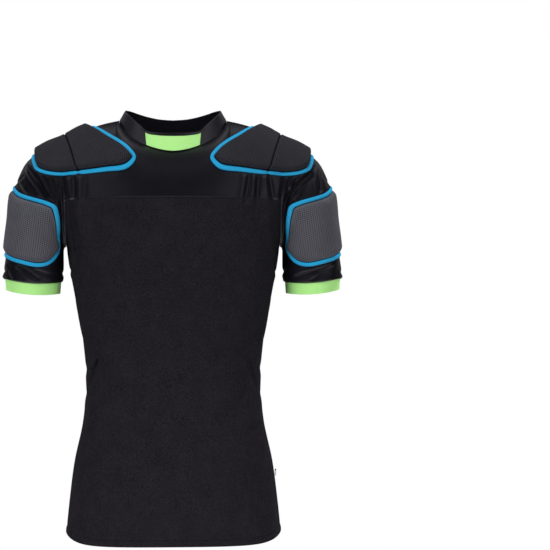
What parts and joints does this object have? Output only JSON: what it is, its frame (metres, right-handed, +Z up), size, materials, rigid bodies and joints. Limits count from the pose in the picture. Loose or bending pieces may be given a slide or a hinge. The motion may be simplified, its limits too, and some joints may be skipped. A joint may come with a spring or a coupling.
{
  "type": "rugby shoulder pads",
  "caption": "Short-sleeved close-fitting rugby top with foam pads sewn over the shoulders and upper arms, bright trim round the pads, an elastic collar insert and elastic cuffs.",
  "frame": {"origin": "midway between the neck points of the two shoulder seams, where the wearer's shoulders carry the garment", "axes": "+Z up along the body, +Y towards the wearer's back, +X towards the wearer's left"},
  "size_m": [0.5768, 0.2389, 0.7256],
  "materials": {
    "body_jersey": "matt black fine stretch knit",
    "yoke_jersey": "black stretch knit with a slight sheen",
    "pad_mesh": "dark grey fine mesh over foam",
    "trim_thread": "bright blue flat seam trim",
    "green_elastic": "bright green woven elastic",
    "label_weave": "plain pale grey woven label"
  },
  "bodies": {
    "root": {"front_body": "body_jersey", "back_body": "body_jersey", "front_yoke": "yoke_jersey", "back_yoke": "yoke_jersey", "sleeve_left": "yoke_jersey", "sleeve_right": "yoke_jersey", "collar": "yoke_jersey", "shoulder_pad_inner_left": "pad_mesh", "shoulder_pad_inner_right": "pad_mesh", "shoulder_pad_outer_left": "pad_mesh", "shoulder_pad_outer_right": "pad_mesh", "arm_pad_left": "pad_mesh", "arm_pad_right": "pad_mesh", "shoulder_pad_trim_left": "trim_thread", "shoulder_pad_trim_right": "trim_thread", "arm_pad_trim_left": "trim_thread", "arm_pad_trim_right": "trim_thread", "collar_front_insert": "green_elastic", "cuff_left": "green_elastic", "cuff_right": "green_elastic", "side_label": "label_weave"}
  },
  "joints": []
}
